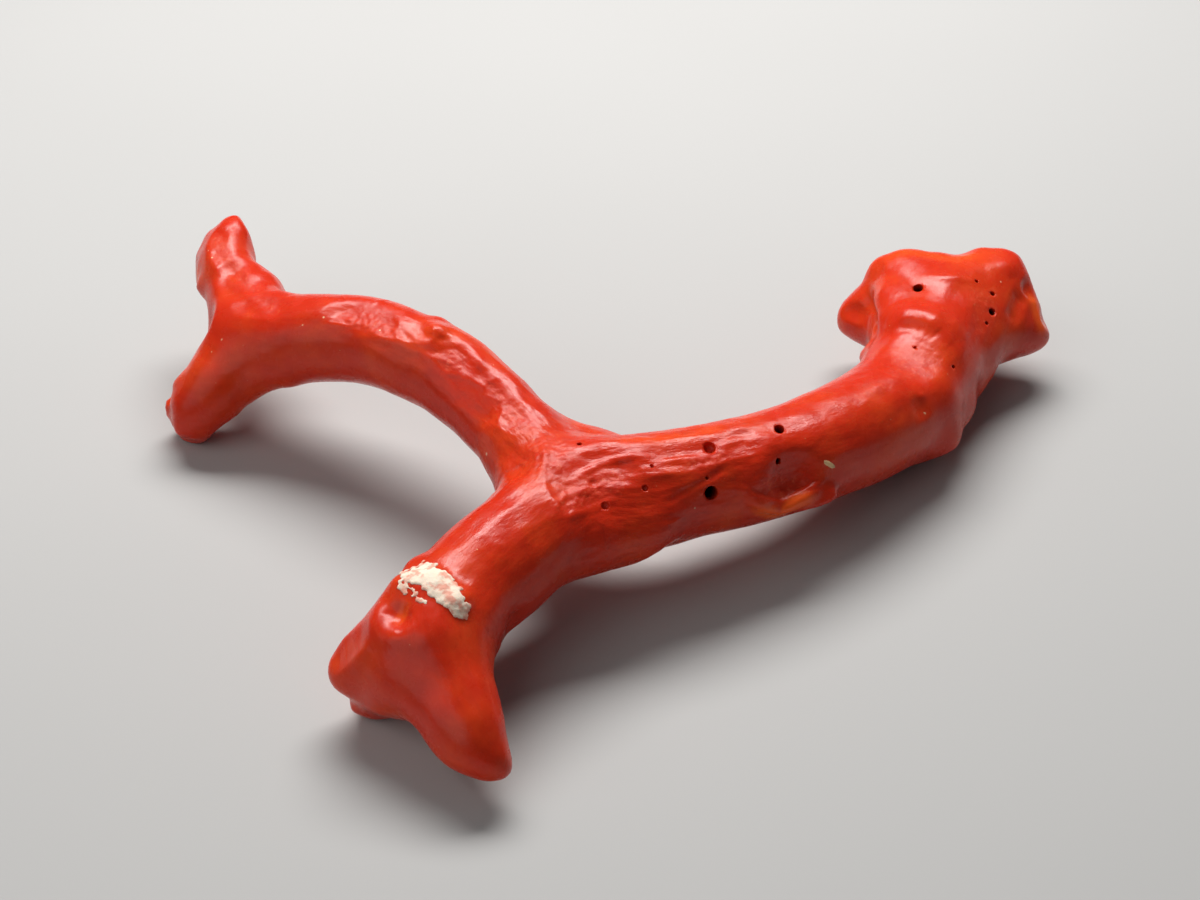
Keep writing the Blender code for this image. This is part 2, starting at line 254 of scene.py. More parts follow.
class Skin:
    """The branch's mesh as arrays in millimetres, to be pressed and raised like wax."""

    def __init__(self, piece):
        self.mesh = piece.data
        count = len(self.mesh.vertices)
        flat = np.empty(count * 3, np.float32)
        self.mesh.vertices.foreach_get("co", flat)
        self.points = flat.reshape(-1, 3).astype(float) / MM
        self.refresh()

    def refresh(self):
        """Writes the points back and reads the new normals."""
        self.mesh.vertices.foreach_set("co", (self.points * MM).astype(np.float32).ravel())
        self.mesh.update()
        flat = np.empty(len(self.points) * 3, np.float32)
        self.mesh.vertex_normals.foreach_get("vector", flat)
        self.normals = flat.reshape(-1, 3).astype(float)
        polygons = [tuple(polygon.vertices) for polygon in self.mesh.polygons]
        ends = np.empty(len(self.mesh.edges) * 2, np.int32)
        self.mesh.edges.foreach_get("vertices", ends)
        self.edges = ends.reshape(-1, 2)
        self.tree = BVHTree.FromPolygons(self.points.tolist(), polygons)

    def is_seen(self, pixel):
        return self.tree.ray_cast(view_point(), sight_line(pixel))[0] is not None

    def seen(self, pixel):
        """The point of the skin that the camera sees at a pixel, and the way it faces."""
        place, facing, _, _ = self.tree.ray_cast(view_point(), sight_line(pixel))
        if place is None:
            raise ValueError(f"nothing of the branch is seen at {pixel}")
        near = self.nearness(np.array(place), FACING_REACH)
        facing = Vector((self.normals * near[:, None]).sum(0)).normalized()
        return np.array(place), np.array(facing)

    def nearness(self, place, reach):
        """1 at a place, and smoothly down to 0 at reach."""
        gap = np.linalg.norm(self.points - place, axis=1) / reach
        return np.clip(1 - gap * gap, 0, 1) ** 2

    def same_side(self, facing):
        """1 for what faces the same way, 0 for the far side of the limb."""
        return np.clip((self.normals @ facing - SIDE_FROM) / SIDE_OVER, 0, 1)

    def lift(self, place, facing, reach, height):
        """Raises a round bump, or presses a dent where the height is negative."""
        amount = self.nearness(place, reach) * self.same_side(facing) * height
        self.points += amount[:, None] * facing

    def ease(self, pixel, reach, rounds):
        """Melts lumps and fills creases round a pixel."""
        share = self.nearness(self.seen(pixel)[0], reach)
        first, last = self.edges[(share[self.edges] > 0).any(axis=1)].T
        count = np.zeros(len(share))
        np.add.at(count, first, 1)
        np.add.at(count, last, 1)
        soft = (count > 0) & (share > 0)
        for _ in range(rounds):
            total = np.zeros_like(self.points)
            np.add.at(total, first, self.points[last])
            np.add.at(total, last, self.points[first])
            mean = total[soft] / count[soft, None]
            self.points[soft] += share[soft, None] * (mean - self.points[soft])

    def soften(self, rounds):
        """Smooths the whole skin a little."""
        first, last = self.edges.T
        count = np.bincount(self.edges.ravel(), minlength=len(self.points))[:, None]
        for _ in range(rounds):
            total = np.zeros_like(self.points)
            np.add.at(total, first, self.points[last])
            np.add.at(total, last, self.points[first])
            self.points += 0.5 * (total / count - self.points)

    def lift_seen(self, pixel, reach, height):
        place, facing = self.seen(pixel)
        self.lift(place, facing, reach, height)

    def line_nearness(self, line, width):
        """1 on a line through space, down to 0 at width, and fading at its two ends."""
        best = np.full(len(self.points), FAR)
        along = np.zeros(len(self.points))
        steps = np.linalg.norm(np.diff(line, axis=0), axis=1)
        gone = 0.0
        for start, end, step in zip(line[:-1], line[1:], steps):
            toward = (end - start) / step
            share = np.clip((self.points - start) @ toward, 0, step)
            gap = np.linalg.norm(self.points - start - share[:, None] * toward, axis=1)
            closer = gap < best
            best[closer] = gap[closer]
            along[closer] = (gone + share)[closer]
            gone += step
        to_end = np.minimum(along, gone - along) / (END_SHARE * gone)
        fade = np.clip(END_STRENGTH + to_end, 0, 1)
        return np.clip(1 - (best / width) ** 2, 0, 1) ** 2 * fade

    def line_seen(self, pixels, width, height):
        """A crest along the pixels, or a groove where the height is negative."""
        found = [self.seen(pixel) for pixel in pixels]
        line = np.array([place for place, _ in found])
        facing = np.mean([way for _, way in found], axis=0)
        facing /= np.linalg.norm(facing)
        amount = self.line_nearness(line, width) * self.same_side(facing) * height
        self.points += amount[:, None] * self.normals

    def in_view(self):
        """Where each point is in the view, as pixels, and how many millimetres a pixel spans there."""
        right, up, forward = (np.array(axis) for axis in view_axes())
        offset = self.points - np.array(view_point())
        depth = offset @ forward
        focal = VIEW_WIDTH / 2 / math.tan(VIEW_ANGLE / 2)
        across = VIEW_WIDTH / 2 + focal * (offset @ right) / depth
        down = VIEW_HEIGHT / 2 - focal * (offset @ up) / depth
        return np.stack([across, down], axis=1), depth / focal

    def within(self, outline, edge):
        """1 inside an outline of pixels, down to 0 over the width of its edge, on the side that is seen."""
        pixels, span = self.in_view()
        gap = np.full(len(pixels), FAR)
        inside = np.zeros(len(pixels), bool)
        corners = np.array(outline, float)
        for start, end in zip(corners, np.roll(corners, -1, axis=0)):
            toward = end - start
            share = np.clip(((pixels - start) @ toward) / (toward @ toward), 0, 1)
            gap = np.minimum(gap, np.linalg.norm(pixels - start - share[:, None] * toward, axis=1))
            if start[1] != end[1]:
                spans = (start[1] > pixels[:, 1]) != (end[1] > pixels[:, 1])
                crossing = start[0] + (pixels[:, 1] - start[1]) * toward[0] / toward[1]
                inside ^= spans & (pixels[:, 0] < crossing)
        share = np.clip(gap * span / edge, 0, 1) * inside
        place, _ = self.seen(corners.mean(axis=0))
        close = np.linalg.norm(self.points - place, axis=1) < OUTLINE_REACH
        seen_side = np.clip(-(self.normals @ np.array(view_axes()[2])) / OUTLINE_SLANT, 0, 1)
        return share * share * (3 - 2 * share) * close * seen_side

    def sink(self, outline, depth, edge):
        """Presses the skin in over an outline of pixels, with its deepest part in the middle."""
        self.points -= (self.within(outline, edge) * depth)[:, None] * self.normals

    def nudge(self, start, end, reach, on_table=False):
        """Pulls the outline from one pixel to another. What lies on the table is pulled along the table."""
        right, up, _ = view_axes()
        origin = np.array(view_point())
        sight = np.array(sight_line(start))
        offset = self.points - origin
        aside = np.linalg.norm(offset - (offset @ sight)[:, None] * sight, axis=1)
        place = self.points[np.argmin(aside)]
        span = self.in_view()[1][np.argmin(aside)]
        across = (end[0] - start[0]) * span
        down = (end[1] - start[1]) * span
        if on_table:
            move = np.array((across, -down / math.sin(VIEW_DOWN), 0.0))
        else:
            move = np.array(right * across - up * down)
        self.points += self.nearness(place, reach)[:, None] * move

    def plane_off(self, pixel, reach, depth, facing):
        """Flattens a facet along the limb: what stands above a plane inside the skin comes down to it."""
        place, _ = self.seen(pixel)
        near = self.nearness(place, FACET_ROUND * reach)[:, None]
        along = np.linalg.eigh((self.normals * near).T @ self.normals)[1][:, 0]
        facing = np.array(facing) - (np.array(facing) @ along) * along
        facing /= np.linalg.norm(facing)
        above = np.clip((self.points - place) @ facing + depth, 0, None)
        gap = np.linalg.norm(self.points - place, axis=1) / reach
        amount = above * np.clip(FACET_FLATNESS * (1 - gap * gap), 0, 1) * self.same_side(facing)
        self.points -= amount[:, None] * facing

    def keep(self, name, values):
        """Stores a number or a vector for each vertex, for the materials to read."""
        kind, field = ("FLOAT", "value") if values.ndim == 1 else ("FLOAT_VECTOR", "vector")
        layer = self.mesh.attributes.new(name, kind, "POINT")
        layer.data.foreach_set(field, values.astype(np.float32).ravel())


def waves(places, seed):
    """Smooth noise from about -1 to 1 at each place."""
    return np.array([noise.noise(place) for place in (places + seed * SEED_STEP).tolist()])


def smooth_path(corners, parts=24):
    """A rounded line through the corners, as many short steps."""
    first = 2 * np.array(corners[0]) - corners[1]
    last = 2 * np.array(corners[-1]) - corners[-2]
    ends = [first, *np.array(corners), last]
    steps = []
    for before, start, end, after in zip(ends[:-3], ends[1:-2], ends[2:-1], ends[3:]):
        for share in np.arange(parts) / parts:
            steps.append(
                0.5
                * (
                    2 * start
                    + (end - before) * share
                    + (2 * before - 5 * start + 4 * end - after) * share**2
                    + (3 * start - before - 3 * end + after) * share**3
                )
            )
    return np.array([*steps, ends[-2]])


def grain_places(points, corners):
    """For each point: its two offsets from a growth path, and how far along the path it lies."""
    path = smooth_path(corners)
    steps = np.diff(path, axis=0)
    lengths = np.linalg.norm(steps, axis=1)
    ways = steps / lengths[:, None]
    gone = np.concatenate([[0], np.cumsum(lengths)])
    sides = [np.cross(ways[0], (0, 0, 1))]
    for way in ways[1:]:
        side = sides[-1] - (sides[-1] @ way) * way
        sides.append(side / np.linalg.norm(side))
    sides = np.array(sides)
    best = np.full(len(points), FAR)
    places = np.zeros((len(points), 3))
    for number, (start, way, length, side) in enumerate(zip(path[:-1], ways, lengths, sides)):
        share = np.clip((points - start) @ way, 0, length)
        offset = points - start - share[:, None] * way
        gap = np.linalg.norm(offset, axis=1)
        closer = gap < best
        best[closer] = gap[closer]
        other = np.cross(way, side)
        found = np.stack([offset @ side, offset @ other, gone[number] + share], axis=1)
        places[closer] = found[closer]
    return places


# Where the skin is made finer, before small forms are carved there: (pixel, reach).
FINE_SPOTS = {
    "scoop": ((785, 488), 2.7),
    "crown_left": ((900, 315), 2.2),
    "crown_right": ((940, 335), 1.6),
    "crater": ((398, 612), 1.6),
    "fork_star": ((545, 462), 1.8),
    "band_left": ((600, 478), 2.6),
    "band_middle": ((655, 470), 2.6),
    "band_right": ((705, 460), 2.3),
    "band_end": ((745, 445), 1.6),
    "band_low": ((556, 520), 2.0),
    "arm_spoon": ((370, 320), 2.2),
    "arm_saddle": ((418, 342), 1.6),
    "arm_pan": ((453, 358), 1.5),
    "arm_facet_high": ((495, 392), 1.9),
    "arm_facet_low": ((524, 428), 1.6),
    "low_twig_lobe": ((171, 408), 1.0),
    "foot_notch": ((1024, 292), 1.1),
}

# Where creases and lumps are melted first: (pixel, reach, rounds).
EASED = {
    "twig_fork": ((262, 303), 3.2, 90),
    "twig_web": ((235, 345), 2.6, 60),
    "low_twig_web": ((262, 372), 2.2, 60),
    "prong_web": ((405, 680), 2.8, 60),
    "short_arm_shoulder": ((405, 600), 2.0, 40),
    "nub_web": ((872, 330), 1.6, 40),
    "foot_web": ((1005, 335), 2.4, 60),
    "stem_foot": ((690, 530), 2.0, 50),
    "scoop_ring": ((770, 468), 2.5, 90),
}

# Where the outline is pulled to, as pixels: (from, to, reach in millimetres, whether it slides on the table).
NUDGES = {
    "twig_corner": ((195, 240), (201, 241), 1.1, False),
    "twig_heel": ((189, 269), (194, 276), 1.0, False),
    "twig_heel_low": ((201, 290), (194, 289), 0.9, False),
    "twig_notch": ((200, 325), (211, 325), 1.4, False),
    "twig_tip_side": ((251, 222), (245, 223), 1.0, False),
    "twig_back": ((252, 258), (256, 261), 1.0, False),
    "twig_back_low": ((266, 273), (269, 270), 1.3, False),
    "low_twig_shoulder": ((179, 378), (173, 380), 0.8, False),
    "low_twig_break": ((169, 396), (178, 397), 0.5, False),
    "low_twig_lobe": ((167, 406), (160, 404), 0.45, False),
    "low_twig_lobe_low": ((166, 415), (162, 413), 0.6, False),
    "low_twig_side": ((223, 428), (219, 423), 1.2, False),
    "low_twig_toe": ((169, 436), (173, 431), 1.2, True),
    "low_twig_sole": ((185, 446), (187, 441), 1.0, True),
    "low_twig_armpit": ((262, 389), (262, 397), 1.5, False),
    "crown_dip_left": ((930, 248), (930, 252), 1.0, False),
    "crown_dip_right": ((956, 248), (956, 255), 1.3, False),
    "crown_shoulder": ((874, 266), (869, 262), 1.2, False),
    "foot_notch": ((1030, 289), (1024, 290), 0.8, False),
    "foot_side": ((1047, 320), (1041, 320), 0.8, False),
    "foot_top": ((1016, 256), (1019, 258), 0.6, False),
    "nub_armpit": ((863, 350), (857, 352), 0.7, False),
    "elbow_side_high": ((979, 384), (985, 388), 1.8, False),
    "elbow_side": ((965, 415), (972, 418), 1.8, False),
    "elbow_side_low": ((950, 443), (957, 446), 1.6, False),
    "short_arm_back": ((396, 584), (392, 580), 1.4, False),
    "short_arm_back_high": ((413, 567), (408, 562), 1.2, False),
    "stub_back": ((351, 637), (348, 634), 1.3, False),
    "stub_toe": ((340, 693), (345, 689), 0.8, True),
    "stub_sole": ((385, 721), (385, 717), 1.2, True),
    "stub_heel": ((356, 710), (351, 711), 0.6, True),
    "prong_side": ((443, 760), (439, 762), 1.7, False),
    "prong_tip": ((506, 774), (510, 776), 1.1, False),
    "lip_end": ((798, 511), (797, 505), 0.55, False),
    "fork_armpit": ((514, 625), (509, 619), 1.3, False),
    "arm_knob": ((441, 318), (442, 315), 0.8, False),
    "stem_sole": ((664, 556), (663, 549), 1.4, False),
}

# Hollows and worn facets, each an outline of pixels: (outline, depth, width of its edge).
HOLLOWS = {
    "fork_saddle": (((503, 440), (520, 436), (536, 445), (540, 462), (530, 480), (512, 486), (500, 474),
                     (497, 455)), 0.22, 0.9),
    "scoop": (((748, 490), (760, 480), (780, 474), (802, 471), (815, 478), (811, 486), (800, 493),
               (788, 498), (776, 500), (761, 498)), 0.18, 0.9),
    "nub_side": (((848, 312), (858, 298), (868, 290), (875, 291), (881, 304), (884, 319), (880, 335),
                  (870, 347), (859, 343), (850, 330)), 0.12, 1.1),
    "crater_round": (((376, 612), (384, 596), (400, 590), (425, 594), (440, 610), (438, 634),
                      (418, 650), (394, 644), (380, 628)), 0.12, 1.2),
    "crater": (((379, 613), (385, 601), (396, 597), (409, 602), (415, 614), (410, 627), (398, 632),
                (386, 626)),
               0.13, 0.6),
    "crown_dish": (((900, 268), (930, 270), (970, 275), (985, 290), (965, 315), (930, 312),
                    (900, 305)), 0.10, 1.0),
}

# Crests and furrows, as pixels along them: (pixels, width, height).
CRESTS = {
    "arm_crest": (((362, 309), (381, 310), (396, 319), (410, 331), (421, 341), (436, 346), (450, 346),
                   (460, 346), (470, 354), (484, 369), (498, 383), (515, 397), (531, 410)), 0.45, 0.06),
    "arm_lower_edge": (((343, 328), (359, 336), (379, 337), (393, 342), (407, 349), (421, 352), (431, 362),
                        (443, 374), (460, 374), (481, 386), (488, 398), (495, 414), (503, 431)), 0.3, 0.02),
    "arm_small_arc": (((372, 305), (380, 301), (391, 301)), 0.22, 0.03),
    "fork_ray_up": (((541, 444), (545, 455), (544, 466), (537, 479)), 0.3, 0.09),
    "fork_ray_side": (((545, 460), (553, 466), (563, 470)), 0.25, 0.05),
    "stem_crest": (((568, 481), (586, 472), (601, 463), (618, 460), (636, 457), (652, 458)), 0.3, 0.08),
    "stem_crest_far": (((648, 466), (667, 462), (682, 460), (701, 458), (719, 452), (727, 444), (739, 441),
                        (754, 438)), 0.3, 0.06),
    "stem_low_crest": (((552, 506), (566, 495), (581, 492), (597, 490)), 0.3, 0.05),
    "stem_lowest_crest": (((560, 520), (581, 513), (600, 507), (618, 497)), 0.3, 0.05),
    "stem_furrow": (((665, 504), (688, 490), (707, 480), (731, 464)), 0.25, -0.06),
    "stem_furrow_top": (((698, 459), (712, 456), (724, 449)), 0.2, -0.04),
    "stem_scratch": (((566, 560), (586, 556), (603, 550)), 0.22, -0.06),
    "scoop_lip": (((744, 494), (754, 500), (766, 506), (778, 508), (789, 505), (800, 499), (814, 492),
                   (824, 487)), 0.50, 0.34),
    "scoop_rim": (((742, 488), (752, 495), (763, 500), (776, 503), (788, 501), (800, 494), (812, 487),
                   (824, 479)), 0.24, 0.16),
    "crown_swell": (((878, 280), (885, 299), (889, 315), (911, 316), (929, 320), (943, 328),
                     (956, 344)), 1.6, 0.36),
    "crown_edge": (((877, 285), (884, 301), (888, 316), (911, 317.5), (929, 322), (941, 329),
                    (952, 344)), 0.30, 0.16),
    "under_crown": (((894, 330), (911, 328), (926, 332), (937, 340)), 0.6, -0.12),
    "nub_valley": (((866, 290), (874, 304), (878, 320), (874, 338)), 0.6, -0.34),
    "foot_valley": (((1022, 292), (1017, 306), (1010, 322)), 0.7, -0.14),
    "stub_ridge": (((382, 596), (372, 622), (362, 650), (352, 676)), 0.6, 0.04),
    "twig_armpit": (((250, 266), (259, 275), (270, 284), (284, 297)), 1.1, 0.20),
    "crown_shoulder": (((880, 257), (886, 264), (889, 273)), 0.35, 0.06),
    "crown_line": (((922, 276), (942, 278), (962, 279), (982, 283)), 0.35, 0.05),
    "twig_edge": (((205, 246), (216, 265), (228, 280), (243, 292), (260, 308), (272, 322)), 0.4, 0.05),
}

# Bumps and dents: (pixel, reach, height).
BUMPS = {
    "arm_knob": ((438, 329), 0.7, 0.12),
    "pit_stem_high": ((593.5, 482), 0.30, -0.12),
    "web_fill": ((395, 692), 2.0, 0.30),
    "prong_back": ((452, 690), 1.6, -0.14),
    "lump_past_scoop": ((831, 493), 0.6, 0.12),
    "elbow_bump_a": ((896, 378), 0.6, 0.05),
    "elbow_bump_b": ((879, 387), 0.35, 0.03),
    "elbow_bump_c": ((867, 400), 0.5, 0.04),
    "elbow_dimple": ((921, 408), 0.8, -0.10),
    "elbow_crumb": ((922, 396), 0.3, 0.07),
    "crown_bump": ((1008, 267), 0.8, 0.08),
    "neck": ((908, 360), 2.3, -0.34),
    "scoop_fill": ((770, 464), 1.9, 0.16),
    "short_arm_glint": ((497, 545), 0.4, 0.04),
    "twig_dimple": ((245, 377), 0.4, -0.04),
}

# Flat facets worn into the rounds: (pixel, reach, depth, the way it faces).
FACETS = {
    "twig_tip": ((213, 240), 1.1, 0.10, (-0.25, -0.12, 0.96)),
    "twig_high": ((224, 256), 1.5, 0.13, (-0.22, -0.12, 0.97)),
    "twig_middle": ((242, 280), 1.8, 0.13, (-0.20, -0.12, 0.97)),
    "twig_low": ((262, 303), 1.8, 0.12, (-0.18, -0.12, 0.98)),
    "spoon_left": ((350, 322), 1.8, 0.06, (-0.12, -0.22, 0.97)),
    "spoon_middle": ((375, 327), 1.8, 0.07, (-0.14, -0.20, 0.97)),
    "spoon_right": ((400, 338), 1.6, 0.05, (-0.10, -0.18, 0.98)),
    "pan": ((450, 360), 1.4, 0.06, (-0.08, -0.24, 0.97)),
    "facet_high": ((490, 386), 1.7, 0.06, (-0.15, -0.22, 0.96)),
    "facet_middle": ((508, 405), 1.7, 0.06, (-0.17, -0.22, 0.96)),
    "facet_low": ((522, 424), 1.6, 0.06, (-0.18, -0.22, 0.96)),
    "band_left": ((598, 482), 2.4, 0.07, (0.06, -0.28, 0.96)),
    "band_middle": ((642, 472), 2.4, 0.07, (0.08, -0.28, 0.96)),
    "band_right": ((688, 467), 2.4, 0.07, (0.10, -0.28, 0.95)),
    "band_end": ((728, 454), 2.0, 0.06, (0.12, -0.28, 0.95)),
    "stub_left": ((350, 650), 1.6, 0.10, (-0.55, -0.20, 0.81)),
    "nub_tip": ((851, 318), 0.9, 0.08, (-0.55, -0.40, 0.73)),
}

# Where folds left by the pulls are melted again: (pixel, reach, rounds).
MELTED = {
    "twig_heel": ((204, 283), 1.1, 12),
    "low_twig_side": ((222, 424), 1.2, 14),
    "foot_side": ((1030, 292), 0.9, 6),
    "stub_toe": ((348, 690), 0.9, 8),
    "prong_root": ((440, 668), 1.6, 20),
    "nub_armpit": ((870, 344), 0.9, 14),
}

# How often the whole skin is smoothed once the folds are melted.
SOFT_ROUNDS = 3

# Patches where the polish is worn through to grainy coral: (outline, width of its edge).
WORN = {
    "arm_facet": (((476, 366), (500, 380), (528, 405), (545, 428), (538, 446), (512, 436), (494, 414),
                   (480, 386)), 0.5),
    "arm_pan": (((428, 350), (455, 346), (474, 360), (462, 373), (442, 373)), 0.3),
    "arm_spoon": (((340, 316), (372, 309), (400, 324), (412, 345), (375, 338), (345, 328)), 0.3),
    "fork_band": (((550, 480), (600, 462), (640, 470), (625, 498), (585, 512), (548, 520)), 0.6),
    "stem_band": (((676, 462), (722, 446), (736, 456), (720, 468), (690, 472)), 0.3),
    "scoop": (((748, 488), (764, 472), (800, 470), (816, 482), (788, 503), (762, 501)), 0.4),
    "fork_star": (((520, 430), (560, 424), (584, 450), (570, 480), (535, 492), (515, 470)), 0.7),
    "elbow_glints": (((840, 398), (862, 388), (884, 374), (905, 368), (912, 378), (890, 394), (862, 408),
                      (842, 410)), 0.4),
    "twig_facet": (((203, 240), (218, 228), (232, 246), (252, 270), (284, 308), (276, 324), (250, 300),
                    (222, 268)), 0.4),
    "crown_right": (((968, 285), (996, 284), (1004, 310), (990, 345), (970, 350), (962, 320)), 0.6),
    "neck": (((888, 348), (903, 338), (928, 338), (946, 350), (950, 372), (926, 386), (900, 382),
              (887, 364)), 0.5),
}
WORN_GRAIN = 4.2
WORN_HEIGHT = 0.035

# Painted glow: thin places painted brighter orange, as if light shone through them, as pixels along them:
# (pixels, width, strength).
PAINTED_GLOW_LINES = {
    "scoop_lip": (((753, 505), (766, 513), (779, 515), (788, 512), (797, 504), (806, 500),
                   (817, 499)), 0.7, 1.0),
    "foot_edge": (((1028, 292), (1036, 306), (1041, 322), (1043, 338)), 0.8, 0.6),
    "twig_heel": (((198, 268), (197, 282)), 0.6, 0.7),
    "crater": (((396, 612), (408, 616)), 1.0, 0.4),
    "crown_back": (((880, 262), (910, 252), (950, 259), (990, 252)), 0.9, 0.35),
    "stem_back": (((590, 442), (640, 440), (690, 436), (740, 422)), 0.8, 0.3),
}

# The relief from broad to fine, as (waves per millimetre across the grain, height), and how drawn out it is.
BROAD_RELIEF = (0.5, 0.045)
STREAK_RELIEF = (1.7, 0.048)
FINE_RELIEF = (3.8, 0.022)
GRAIN_LENGTH = 2.6
SEED_STEP = 17.3

# The streaks are plainest round the fork: where, how far they reach, and what is left of them elsewhere.
STREAKS_FROM = (0.5, -2.6, 5.5)
STREAKS_REACH = 10.0
STREAKS_ELSEWHERE = 0.35

# Worm holes and pin pricks: (pixel, radius, depth, how much shade is painted inside).
HOLES = {
    "hole_near_fork": ((709.8, 447.3), 0.26, 0.30, 0.0),
    "hole_front": ((711.9, 493.2), 0.30, 1.6, 1.0),
    "hole_above_ledge": ((779.6, 428.5), 0.22, 1.3, 0.8),
    "hole_in_scoop": ((778.6, 461.4), 0.14, 0.9, 1.0),
    "hole_head": ((917.9, 287.4), 0.23, 1.3, 1.0),
    "prick_head_a": ((992.5, 311.6), 0.17, 0.6, 0.9),
    "prick_head_b": ((992.9, 293.4), 0.12, 0.4, 0.5),
    "prick_head_c": ((976.8, 281), 0.09, 0.3, 0.6),
    "prick_head_d": ((987, 323), 0.09, 0.3, 0.6),
    "prick_elbow": ((953.6, 366.6), 0.09, 0.3, 0.8),
    "pit_stem_a": ((645.5, 488), 0.13, 0.18, 0.0),
    "pit_stem_b": ((605.4, 505.6), 0.17, 0.16, 0.0),
    "pit_stem_c": ((652, 466), 0.08, 0.14, 0.0),
    "pit_fork": ((579.4, 443.6), 0.10, 0.25, 0.8),
    "pit_stem_d": ((707.3, 478), 0.08, 0.2, 0.4),
    "pit_foot": ((915, 347.5), 0.07, 0.15, 0.3),
}
# The painted shade inside a hole starts this far in and is full this much deeper.
DARK_FROM = 0.05
DARK_OVER = 0.18
DRILL_ABOVE = 0.4
DRILL_SIDES = 18
# A hole leans toward the line of sight, and its wall is looked for in a slightly wider and deeper drill.
BORE_LEAN = 0.5
BORE_WIDER = 1.04
BORE_DEEPER = 1.1

# The lime crust on the short arm: (outline in pixels, lumps tried, least radius, most radius, flatness).
CRUST_PATCHES = {
    "base": (((404, 576), (413, 572), (425, 566), (434, 569), (443, 577), (455, 588), (458, 598), (464, 608),
              (462, 614), (453, 609), (444, 601), (433, 592), (422, 583), (411, 580)), 320, 0.20, 0.30, 0.34),
    "lumps": (((399, 575), (412, 567), (426, 560), (437, 565), (446, 573), (460, 585), (462, 596), (470, 606),
               (468, 619), (455, 616), (447, 607), (438, 600), (430, 594), (420, 585), (408, 581)),
              620, 0.09, 0.18, 0.65),
    "veil": (((396, 584), (405, 577), (414, 587), (428, 594), (427, 604), (413, 601), (402, 591)),
             80, 0.10, 0.17, 0.35),
}
CRUST_STEP = 0.05
CRUST_ROUNDS = 3
CRUST_CHANCE = 5
CRUST_SQUASH = (0.6, 1.0)

# The grain of sand that sticks to the stem: pixels at its two ends and its half width.
SAND_GRAIN = ((824, 461), (835, 468), 0.13)
SAND_SUNK = 0.02
SAND_THINNER = 0.8
SAND_LUMPS = (1.7, 0.18)


def finer(branch):
    """Splits the faces in four where small forms come."""
    skin = Skin(branch)
    fine = np.zeros(len(skin.points), bool)
    for pixel, reach in FINE_SPOTS.values():
        fine |= skin.nearness(skin.seen(pixel)[0], reach) > 0
    grid = bmesh.new()
    grid.from_mesh(branch.data)
    edges = [edge for edge in grid.edges if all(fine[vertex.index] for vertex in edge.verts)]
    bmesh.ops.subdivide_edges(grid, edges=edges, cuts=1, use_grid_fill=True)
    grid.to_mesh(branch.data)
    grid.free()


def carve(skin):
    """All the listed forms, from broad to fine."""
    for spot in EASED.values():
        skin.ease(*spot)
    skin.refresh()
    for start, end, reach, on_table in NUDGES.values():
        skin.nudge(start, end, reach, on_table)
    skin.refresh()
    for spot in MELTED.values():
        skin.ease(*spot)
    skin.soften(SOFT_ROUNDS)
    skin.refresh()
    for facet in FACETS.values():
        skin.plane_off(*facet)
    for pixel, reach, height in BUMPS.values():
        skin.lift_seen(pixel, reach, height)
    for outline, depth, edge in HOLLOWS.values():
        skin.sink(outline, depth, edge)
    skin.refresh()
    for pixels, width, height in CRESTS.values():
        skin.line_seen(pixels, width, height)
    skin.refresh()


def grained(skin):
    """Adds the growth relief and the worn patches, and stores them for the materials."""
    toward_stem = np.array(STEM_SHARE_TO) - STEM_SHARE_FROM
    share = np.clip((skin.points - STEM_SHARE_FROM) @ toward_stem / (toward_stem @ toward_stem), 0, 1)
    shares = {"grain_arms": 1 - share, "grain_stem": share}
    streaks = np.zeros(len(skin.points))
    fine = np.zeros(len(skin.points))
    for seed, (name, path) in enumerate(GROWTH_PATHS.items()):
        places = grain_places(skin.points, path)
        places[:, 2] /= GRAIN_LENGTH
        skin.keep(name, places)
        streaks += shares[name] * waves(places * STREAK_RELIEF[0], seed)
        fine += shares[name] * waves(places * FINE_RELIEF[0], seed + 5)
    broad = waves(skin.points * BROAD_RELIEF[0], 1)
    away = np.linalg.norm(skin.points - STREAKS_FROM, axis=1) / STREAKS_REACH
    plain = STREAKS_ELSEWHERE + (1 - STREAKS_ELSEWHERE) * np.exp(-away * away)
    relief = broad * BROAD_RELIEF[1] + plain * (streaks * STREAK_RELIEF[1] + fine * FINE_RELIEF[1])
    worn = np.zeros(len(skin.points))
    for outline, edge in WORN.values():
        worn = np.maximum(worn, skin.within(outline, edge))
    grains = waves(skin.points * WORN_GRAIN, 9)
    relief += worn * grains * WORN_HEIGHT
    # The painted glow: how strongly each point is painted orange, as if lit through from behind.
    painted_glow = np.zeros(len(skin.points))
    for pixels, width, strength in PAINTED_GLOW_LINES.values():
        line = np.array([skin.seen(pixel)[0] for pixel in pixels])
        painted_glow = np.maximum(painted_glow, strength * skin.line_nearness(line, width))
    skin.points += relief[:, None] * skin.normals
    skin.keep("stem_share", share)
    skin.keep("streakiness", plain)
    skin.keep("worn", worn)
    skin.keep("painted_glow", painted_glow)
    low, high = (np.array(corner) / MM for corner in cad_box)
    skin.points = np.clip(skin.points, low, high)
    skin.refresh()


